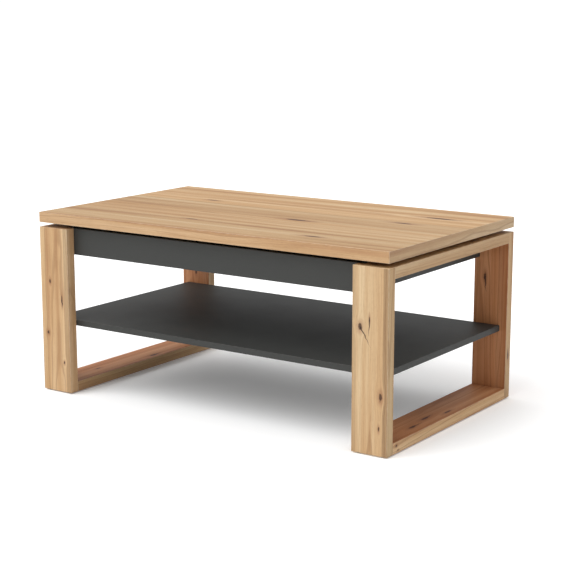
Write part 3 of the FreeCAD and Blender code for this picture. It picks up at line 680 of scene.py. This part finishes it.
# %% Tints, and the finished boards
# the first tint is for a board's wide sheets, the second for its edge bands
# the rear legs and the bottom rails get a painted shade on their wide sheets: darker and redder,
# for the shade and the warm bounced light inside the loops
PAINTED_LOOP_SHADE = (0.88, 0.57, 0.45, 1.0)
TINTS = {
    "table_top": (PLAIN, (0.97, 1.01, 1.10, 1.0)),
    "rear_leg_right": (PAINTED_LOOP_SHADE, PLAIN),
    "rear_leg_left": (PAINTED_LOOP_SHADE, PLAIN),
    "bottom_rail_right": (PAINTED_LOOP_SHADE, PLAIN),
    "bottom_rail_left": (PAINTED_LOOP_SHADE, PLAIN),
    "top_rail_right": (PLAIN, (0.82, 0.80, 0.79, 1.0)),
    "front_leg_right": ((0.84, 0.83, 0.83, 1.0), (1.08, 1.15, 1.18, 1.0)),
    "front_leg_left": ((0.98, 1.00, 1.04, 1.0), (0.95, 0.90, 0.90, 1.0)),
}
for name, recipe in OAK_BOARDS.items():
    tints = TINTS.get(name, (PLAIN, PLAIN))
    dress(name, oak_finish(name, *recipe, *tints))
print(len(OAK_BOARDS), "oak boards, each with its own knots")

# %% [markdown]
# ## Anthracite boards
#
# The tray and the shelf are faced with an anthracite melamine. Close to, it has a fine
# pearl texture that breaks up reflections, and a very faint cloud in its tone. The
# arrises of a dark board are painted a little paler: partly wear where the band is
# rubbed, partly a painted highlight where the rounded edge would catch the light.


# %% The group for pearl texture
def make_pearl_group():
    tree, given, out = new_group(
        "pearl texture",
        [("Place", "Vector", None), ("Grit", "Float", 900.0)],
        [("Height", "Float"), ("Cloud", "Float")],
    )
    fine = noise(tree, given["Place"], given["Grit"], 2.0, 0.5)
    cloud = noise(tree, given["Place"], 9.0, 4.0, 0.6)
    tree.links.new(fine, out["Height"])
    tree.links.new(cloud, out["Cloud"])
    return tree


pearl_group = make_pearl_group()


def pearl_texture(tree, grit):
    """Object coordinates, and the pearl group on them."""
    place = tree.nodes.new("ShaderNodeTexCoord").outputs["Object"]
    return place, place_group(tree, pearl_group, Place=place, Grit=grit)


# %% The recipe for an anthracite board
ANTHRACITE, PALE_ANTHRACITE = paint(49, 50, 48), paint(51, 52, 50)
PEARL = paint(63, 64, 62)
WORN_ANTHRACITE_HIGHLIGHT = paint(96, 95, 92)
DARK_GLUE = paint(28, 28, 27)


def anthracite_finish(name):
    material, tree, shader = new_finish(f"anthracite, {name.replace('_', ' ')}")
    place, pearl = pearl_texture(tree, 900.0)
    base = mixed(tree, pearl["Cloud"], ANTHRACITE, PALE_ANTHRACITE)
    base = mixed(tree, fade(tree, pearl["Height"], 0.45, 0.75, high=0.35), base, PEARL)
    edge = edges_of(tree, place, name)
    # paler arris: wear where the band is rubbed, and a painted highlight
    base = mixed(tree, calc(tree, "MULTIPLY", edge["Wear Highlight"], 0.35), base, WORN_ANTHRACITE_HIGHLIGHT)
    base = mixed(tree, calc(tree, "MULTIPLY", edge["Glue Line"], 0.5), base, DARK_GLUE)
    feed(tree, shader.inputs["Base Color"], base)
    feed(tree, shader.inputs["Roughness"], fade(tree, pearl["Cloud"], 0.3, 0.7, 0.54, 0.57))
    shader.inputs["Specular IOR Level"].default_value = 0.4
    feed(tree, shader.inputs["Normal"], raised(tree, pearl["Height"], 0.00004, 0.6))
    return material


ANTHRACITE_BOARDS = (
    "shelf", "tray_front", "tray_back", "tray_side_left", "tray_side_right", "tray_bottom",
)
for name in ANTHRACITE_BOARDS:
    dress(name, anthracite_finish(name))
print(len(ANTHRACITE_BOARDS), "anthracite boards")

# %% [markdown]
# ## Metals, rubber and plastic
#
# Powder coat is paint that was melted on, so it has a soft orange-peel skin. Zinc plate
# is bright with faint clouds. The grain of the dowels runs along them.


# %% Powder coat and blackened steel
def coated_steel(name, colour, pale, grit, rough, metallic=0.0):
    material, tree, shader = new_finish(name)
    _, pearl = pearl_texture(tree, grit)
    cloud = fade(tree, pearl["Cloud"], 0.35, 0.75)
    worn = fade(tree, pearl["Cloud"], 0.3, 0.7, rough, rough + 0.12)
    feed(tree, shader.inputs["Base Color"], mixed(tree, cloud, colour, pale))
    feed(tree, shader.inputs["Roughness"], worn)
    shader.inputs["Metallic"].default_value = metallic
    feed(tree, shader.inputs["Normal"], raised(tree, pearl["Height"], 0.00005, 0.8))
    return material


powder_coat = coated_steel(
    "powder-coated steel", paint(30, 30, 31), paint(40, 40, 41), grit=700.0, rough=0.38
)
blackened = coated_steel(
    "blackened steel", paint(38, 38, 40), paint(58, 58, 60), grit=1200.0, rough=0.30, metallic=0.6
)


# %% Zinc plate
def zinc_plate():
    material, tree, shader = new_finish("zinc plate")
    _, pearl = pearl_texture(tree, 1500.0)
    base = mixed(tree, pearl["Cloud"], paint(170, 171, 170), paint(205, 205, 202))
    feed(tree, shader.inputs["Base Color"], base)
    shader.inputs["Metallic"].default_value = 1.0
    feed(tree, shader.inputs["Roughness"], fade(tree, pearl["Cloud"], 0.3, 0.7, 0.28, 0.42))
    feed(tree, shader.inputs["Normal"], raised(tree, pearl["Height"], 0.00003, 0.5))
    return material


zinc = zinc_plate()


# %% Rubber and plastic
def moulded(name, colour, pale, rough):
    material, tree, shader = new_finish(name)
    _, pearl = pearl_texture(tree, 1800.0)
    uneven = fade(tree, pearl["Height"], 0.3, 0.7, rough, rough + 0.1)
    feed(tree, shader.inputs["Base Color"], mixed(tree, pearl["Cloud"], colour, pale))
    feed(tree, shader.inputs["Roughness"], uneven)
    feed(tree, shader.inputs["Normal"], raised(tree, pearl["Height"], 0.00003, 0.6))
    return material


rubber = moulded("stop rubber", paint(24, 24, 24), paint(32, 32, 31), rough=0.75)
glide_plastic = moulded("glide plastic", paint(112, 108, 102), paint(134, 130, 123), rough=0.45)

# %% Beech
BEECH_STRETCH = (900.0, 30.0, 900.0)


def beech_finish():
    """All dowels of the table lie along Y, and so does their grain."""
    material, tree, shader = new_finish("beech dowel")
    place = tree.nodes.new("ShaderNodeTexCoord").outputs["Object"]
    streak = noise(tree, vector_calc(tree, "MULTIPLY", place, BEECH_STRETCH), 1.0, 3.0)
    base = mixed(tree, streak, paint(226, 194, 150), paint(196, 158, 112))
    feed(tree, shader.inputs["Base Color"], base)
    shader.inputs["Roughness"].default_value = 0.7
    feed(tree, shader.inputs["Normal"], raised(tree, streak, 0.0001, 0.6))
    return material


beech = beech_finish()

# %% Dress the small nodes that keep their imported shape
SMALL_NODES = {
    blackened: ["base_spacers", "top_spacers", "stop_studs"],
    zinc: ["rail_cam_bolts", "shelf_cam_bolts"],
    rubber: ["stop_pads"],
    beech: ["rail_dowels", "shelf_dowels", "tray_dowels"],
}
for finish, names in SMALL_NODES.items():
    for name in names:
        dress(name, finish)

# %% [markdown]
# ## Softened steel
#
# Pressed and punched steel has no knife edges: tumbling and the powder coat round them
# to about half a millimetre, and that is what draws a thin line of light along an arm.
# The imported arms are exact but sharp. So a merged copy of each is cleaned of the lines
# that only divide flat faces, and its real edges are bevelled.


# %% A merged copy of a node
MERGE = 0.00001
SHARP = math.radians(35.0)


def merged_copy(name):
    """The node's loose triangles as one bmesh."""
    shape = bmesh.new()
    shape.from_mesh(nodes[name].data)
    bmesh.ops.remove_doubles(shape, verts=shape.verts, dist=MERGE)
    return shape


# %% Hand a finished piece to the frame
def finished_piece(name, shape, body, finish, slot, *stands_for):
    """Makes the object, smooth-shades its curves, and puts it in place of its nodes."""
    for face in shape.faces:
        face.smooth = True
    mesh = bpy.data.meshes.new(name)
    shape.to_mesh(mesh)
    shape.free()
    mesh.set_sharp_from_angle(angle=SHARP)
    mesh.materials.append(finish)
    piece = bpy.data.objects.new(name, mesh)
    bpy.context.scene.collection.objects.link(piece)
    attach(piece, body)
    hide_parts(*stands_for)
    return piece


# %% A bevelled copy of each pressed part
ROUNDING = 0.0004


def softened(name, body):
    shape = merged_copy(name)
    bmesh.ops.dissolve_limit(
        shape, angle_limit=math.radians(1.0), verts=shape.verts, edges=shape.edges
    )
    sharp = [
        rim for rim in shape.edges if len(rim.link_faces) == 2 and rim.calc_face_angle() > SHARP
    ]
    bmesh.ops.bevel(
        shape,
        geom=sharp,
        offset=ROUNDING,
        offset_type="OFFSET",
        affect="EDGES",
        segments=2,
        profile=0.5,
        material=-1,
        clamp_overlap=True,
    )
    return finished_piece(f"{name}_softened", shape, body, powder_coat, "black_steel", name)


STEEL_PIECES = {
    "frame": ("base_plate_left", "base_plate_right"),
    "rear_arms": ("rear_arm_left", "rear_arm_right", "cross_bar"),
    "front_arm_left": ("front_arm_left",),
    "front_arm_right": ("front_arm_right",),
    "lift_top": ("top_bracket_left", "top_bracket_right"),
}
for body, names in STEEL_PIECES.items():
    for name in names:
        piece = softened(name, body)
        print(piece.name, len(piece.data.polygons), "faces")

# %% [markdown]
# ## Turned parts
#
# Rivets, glides, screws and cam discs are all round, so each is a profile spun about its
# axis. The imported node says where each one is: its separate solids are found, and a
# turned part is set on the axis of each solid's box.


# %% Find the separate solids of a node
def solid_boxes(name):
    """(low, high) of each solid in a node, in metres."""
    shape = merged_copy(name)
    waiting = set(shape.verts)
    boxes = []
    while waiting:
        island = [waiting.pop()]
        for vertex in island:
            for rim in vertex.link_edges:
                other = rim.other_vert(vertex)
                if other in waiting:
                    waiting.remove(other)
                    island.append(other)
        low = Vector([min(vertex.co[axis] for vertex in island) for axis in range(3)])
        high = Vector([max(vertex.co[axis] for vertex in island) for axis in range(3)])
        boxes.append((low, high))
    shape.free()
    return boxes


def lie_of(low, high, head_to):
    """Where a turned part's head ends, which way it runs from there, and its length."""
    middle = (low + high) / 2
    if head_to == "floor":
        return Vector((middle.x, middle.y, low.z)), Vector((0, 0, 1)), high.z - low.z
    outward = 1.0 if middle.x > 0 else -1.0
    toward = outward if head_to == "middle" else -outward
    start = low.x if toward > 0 else high.x
    return Vector((start, middle.y, middle.z)), Vector((toward, 0, 0)), high.x - low.x


# %% Spin a profile
# points closer than this become one, such as those on the axis
WELD = 0.000001


def turn_profile(shape, profile, start, forward, segments):
    """Spins (radius, distance) points about a line from start, and adds them to the shape."""
    to_axis = Vector((0, 0, 1)).rotation_difference(forward).to_matrix().to_4x4()
    made = bmesh.new()
    points = [made.verts.new((radius, 0.0, distance)) for radius, distance in profile]
    for first, second in zip(points, points[1:]):
        made.edges.new((first, second))
    bmesh.ops.spin(
        made,
        geom=made.verts[:] + made.edges[:],
        cent=(0, 0, 0),
        axis=(0, 0, 1),
        angle=math.tau,
        steps=segments,
        use_merge=True,
    )
    bmesh.ops.remove_doubles(made, verts=made.verts, dist=WELD)
    bmesh.ops.recalc_face_normals(made, faces=made.faces)
    bmesh.ops.transform(made, matrix=Matrix.Translation(start) @ to_axis, verts=made.verts)
    mesh = bpy.data.meshes.new("turned")
    made.to_mesh(mesh)
    made.free()
    shape.from_mesh(mesh)
    bpy.data.meshes.remove(mesh)


# %% [markdown]
# A rivet has a domed head on one side, and the rim of its other end is taken off a
# little. The base rivets have their heads towards the middle of the table and the top
# rivets outwards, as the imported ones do.


# %% Rivets
RIVET, RIVET_HEAD, HEAD_HIGH = 0.003, 0.006, 0.0015
TRIM = 0.0003


def rivet_profile(length):
    """From the crown of the domed head to the far end of the shank."""
    crown = [(0.0, 0.0), (0.0022, 0.00012), (0.0040, 0.0005), (0.0054, 0.0010)]
    rim = [(RIVET_HEAD, HEAD_HIGH - 0.0001), (RIVET_HEAD - 0.0002, HEAD_HIGH)]
    shank = [(RIVET, HEAD_HIGH), (RIVET, length - TRIM), (RIVET - TRIM, length), (0.0, length)]
    return crown + rim + shank


def add_rivets(name, body, head_to):
    shape = bmesh.new()
    for low, high in solid_boxes(name):
        start, toward, length = lie_of(low, high, head_to)
        turn_profile(shape, rivet_profile(length), start, toward, segments=32)
    return finished_piece(f"{name}_turned", shape, body, blackened, "pivot_steel", name)


add_rivets("front_base_pins", "frame", "middle")
add_rivets("rear_base_pins", "frame", "middle")
add_rivets("front_top_pins", "lift_top", "outside")
add_rivets("rear_top_pins", "lift_top", "outside")
print("eight rivets turned")

# %% [markdown]
# A glide is a moulded disc with a chamfered foot and a nail through it. The nail's head
# sits in a shallow well, so that it can't scratch the floor.


# %% Glides
DISC_HIGH, DISC_RADIUS, CHAMFER = 0.003, 0.0090, 0.0012
WELL_RADIUS, WELL_DEPTH = 0.0030, 0.0007
NAIL_RADIUS, NAIL_POINT = 0.0012, 0.0010


def glide_profile(length):
    """From the middle of the foot, round the disc, and up the nail."""
    well = [(0.0, WELL_DEPTH), (WELL_RADIUS, WELL_DEPTH), (WELL_RADIUS + 0.0004, 0.0)]
    disc = [(DISC_RADIUS - CHAMFER, 0.0), (DISC_RADIUS, CHAMFER), (DISC_RADIUS, DISC_HIGH)]
    nail = [(NAIL_RADIUS, DISC_HIGH), (NAIL_RADIUS, length - NAIL_POINT), (0.0, length)]
    return well + disc + nail


def add_glides(name, body):
    shape = bmesh.new()
    for low, high in solid_boxes(name):
        start, toward, length = lie_of(low, high, "floor")
        turn_profile(shape, glide_profile(length), start, toward, segments=40)
    return finished_piece("glides_moulded", shape, body, glide_plastic, "glide_plastic", name)


glides = add_glides("floor_glides", "frame")
print(glides.name, len(glides.data.polygons), "faces")

# %% [markdown]
# The screws have low domed heads with a cross recess. Each recess is cut by a Boolean
# with two crossed wedges. How far a screw is turned depends on its place along Y, so
# that a row of them looks as a screwdriver leaves it.


# %% Cut a cross into a blank
# how thick a wedge is for its length, and what its deep end keeps of both
WEDGE_THICK, WEDGE_TAPER = 0.22, (0.45, 0.6, 1.0)


def crossed_wedges(size, depth):
    """Two thin blocks across each other, narrower at the bottom of the recess."""
    shape = bmesh.new()
    for turn in (0.0, math.pi / 2):
        made = bmesh.ops.create_cube(shape, size=1.0)["verts"]
        bmesh.ops.scale(shape, vec=(size, size * WEDGE_THICK, depth * 2), verts=made)
        deep = [vertex for vertex in made if vertex.co.z > 0]
        bmesh.ops.scale(shape, vec=WEDGE_TAPER, verts=deep)
        bmesh.ops.rotate(shape, cent=(0, 0, 0), matrix=Matrix.Rotation(turn, 3, "Z"), verts=made)
    return shape


def object_of(shape, name):
    mesh = bpy.data.meshes.new(name)
    shape.to_mesh(mesh)
    shape.free()
    made = bpy.data.objects.new(name, mesh)
    bpy.context.scene.collection.objects.link(made)
    return made


def carved(blank_shape, recess_shape):
    """The mesh of a blank with a recess cut out of it."""
    blank = object_of(blank_shape, "blank")
    cutter = object_of(recess_shape, "cutter")
    cut = blank.modifiers.new("recess", "BOOLEAN")
    cut.object = cutter
    cut.solver = "EXACT"
    cut.use_self = True
    bpy.context.view_layer.update()
    graph = bpy.context.evaluated_depsgraph_get()
    mesh = bpy.data.meshes.new_from_object(blank.evaluated_get(graph))
    for spare in (blank, cutter):
        bpy.data.objects.remove(spare)
    return mesh


# %% One screw with its recess
WOOD_SCREW = {"shank": 0.0020, "head": 0.0040, "head_high": 0.0013, "recess": 0.0046}
BAR_SCREW = {"shank": 0.0025, "head": 0.0045, "head_high": 0.0026, "recess": 0.0050}


def screw_mesh(length, shank, head, head_high, recess):
    """A screw along +Z from the crown of its head, with a cross recess."""
    crown = [(0.0, 0.0), (head * 0.45, head_high * 0.12), (head * 0.8, head_high * 0.5)]
    rim = [(head, head_high * 0.9), (head, head_high), (shank, head_high)]
    point = [(shank, length - shank), (0.0, length)]
    blank = bmesh.new()
    up = Vector((0, 0, 1))
    turn_profile(blank, crown + rim + point, Vector((0, 0, 0)), up, segments=28)
    return carved(blank, crossed_wedges(recess, head_high * 0.75))


# %% A screw in every place
TURN_PER_METRE = 37.0


def add_screws(name, body, head_to, kind):
    shape = bmesh.new()
    for low, high in solid_boxes(name):
        start, toward, length = lie_of(low, high, head_to)
        mesh = screw_mesh(length, **kind)
        turn = Vector((0, 0, 1)).rotation_difference(toward).to_matrix().to_4x4()
        spin = Matrix.Rotation(start.y * TURN_PER_METRE, 4, "Z")
        mesh.transform(Matrix.Translation(start) @ turn @ spin)
        shape.from_mesh(mesh)
        bpy.data.meshes.remove(mesh)
    return finished_piece(f"{name}_cross_head", shape, body, zinc, "zinc_steel", name)


add_screws("base_plate_screws", "frame", "middle", WOOD_SCREW)
add_screws("tray_rail_screws", "frame", "middle", WOOD_SCREW)
add_screws("bracket_screws", "lift_top", "floor", WOOD_SCREW)
add_screws("cross_bar_screws", "rear_arms", "middle", BAR_SCREW)
print("24 screws with cross recesses")

# %% [markdown]
# The cams of the knock-down joints show as bright discs with a cross slot in the lower
# faces of the shelf and the rails. Only that outer disc shows, so only it is made.


# %% Cam discs
CAM_THICK, CAM_CHAMFER = 0.004, 0.0006
SLOT_PER_RADIUS, SLOT_DEPTH = 1.2, 0.0022


def add_cam_discs(name, body):
    shape = bmesh.new()
    for low, high in solid_boxes(name):
        start, toward, _ = lie_of(low, high, "floor")
        radius = (high.x - low.x) / 2
        foot = [(0.0, 0.0), (radius - CAM_CHAMFER, 0.0), (radius, CAM_CHAMFER)]
        disc = bmesh.new()
        profile = foot + [(radius, CAM_THICK), (0.0, CAM_THICK)]
        turn_profile(disc, profile, Vector((0, 0, 0)), toward, segments=32)
        mesh = carved(disc, crossed_wedges(radius * SLOT_PER_RADIUS, SLOT_DEPTH))
        mesh.transform(Matrix.Translation(start))
        shape.from_mesh(mesh)
        bpy.data.meshes.remove(mesh)
    return finished_piece(f"{name}_slotted", shape, body, zinc, "zinc_steel", name)


add_cam_discs("rail_cams", "frame")
add_cam_discs("shelf_cams", "frame")
print("12 cam discs with their slots")

# %% [markdown]
# ## The studio
#
# A white room: one big floor, a white world that is brighter overhead, and a soft light
# from the front left, high up. The camera sees the world as plain white, while its light
# is lower near the horizon, so that upright faces keep some shade. The floor works the
# same way: the camera sees it whiter than the light it throws back, which would
# otherwise wash out the faces of the boards from below.


# %% Floor
FLOOR_RADIUS = 40.0
FLOOR_GREYS = (0.87, 0.87, 0.87, 1.0), (0.89, 0.89, 0.89, 1.0)
FLOOR_GLOW = 0.08


def floor_finish():
    material, tree, shader = new_finish("studio floor")
    where = tree.nodes.new("ShaderNodeTexCoord")
    ray = tree.nodes.new("ShaderNodeLightPath")
    grey = mixed(tree, noise(tree, where.outputs["Object"], 1.5, 3.0), *FLOOR_GREYS)
    seen = mixed(tree, ray.outputs["Is Camera Ray"], grey, PLAIN)
    feed(tree, shader.inputs["Base Color"], seen)
    shader.inputs["Emission Color"].default_value = PLAIN
    shader.inputs["Emission Strength"].default_value = FLOOR_GLOW
    shader.inputs["Roughness"].default_value = 0.9
    shader.inputs["Specular IOR Level"].default_value = 0.0
    return material


def make_floor():
    shape = bmesh.new()
    bmesh.ops.create_circle(shape, cap_ends=True, segments=96, radius=FLOOR_RADIUS)
    floor = object_of(shape, "studio_floor")
    floor.data.materials.append(floor_finish())


make_floor()
print("a floor of", FLOOR_RADIUS, "m radius")


# %% World
def make_world(low, high, seen):
    """White to the camera. Its light rises from low at the horizon to high overhead."""
    world = bpy.data.worlds.new("white room")
    bpy.context.scene.world = world
    world.use_nodes = True
    tree = world.node_tree
    tree.nodes.clear()
    ray = tree.nodes.new("ShaderNodeLightPath")
    where = tree.nodes.new("ShaderNodeTexCoord")
    _, _, height = parts_of(tree, where.outputs["Generated"])
    rise = calc(tree, "MAXIMUM", height, 0.0)
    lit = calc(tree, "MULTIPLY_ADD", rise, high - low, low)
    missing = calc(tree, "SUBTRACT", seen, lit)
    gain = calc(tree, "MULTIPLY_ADD", ray.outputs["Is Camera Ray"], missing, lit)
    background = tree.nodes.new("ShaderNodeBackground")
    output = tree.nodes.new("ShaderNodeOutputWorld")
    background.inputs["Color"].default_value = PLAIN
    tree.links.new(gain, background.inputs["Strength"])
    tree.links.new(background.outputs[0], output.inputs["Surface"])


make_world(low=0.23, high=1.343, seen=1.05)


# %% The key light
def key_light(toward, softness, power):
    """A sun, which lights the whole floor alike. A wide angle makes its shadows soft."""
    lamp = bpy.data.lights.new("key light", "SUN")
    lamp.angle = math.radians(softness)
    lamp.energy = power
    holder = bpy.data.objects.new("key light", lamp)
    bpy.context.scene.collection.objects.link(holder)
    holder.rotation_euler = Vector(toward).to_track_quat("-Z", "Y").to_euler()
    print(lamp.name, "of", power, "and", softness, "degrees wide")


key_light(toward=(0.35, 0.63, -0.70), softness=55.0, power=1.7)

# %% [markdown]
# ## The camera
#
# It stands well back, a little over a metre high, in front and to the right. Its long
# lens keeps the uprights nearly upright in the picture.


# %% Camera
def make_camera(place, aim, lens):
    data = bpy.data.cameras.new("camera")
    data.lens = lens
    data.sensor_width = 36.0
    data.clip_end = 200.0
    holder = bpy.data.objects.new("camera", data)
    bpy.context.scene.collection.objects.link(holder)
    holder.location = place
    holder.rotation_euler = (Vector(aim) - Vector(place)).to_track_quat("-Z", "Y").to_euler()
    bpy.context.scene.camera = holder


make_camera(place=(2.2157, -3.1676, 1.0804), aim=(0.015, 0.03, 0.30), lens=92.0)
bpy.context.scene.view_settings.view_transform = "Standard"
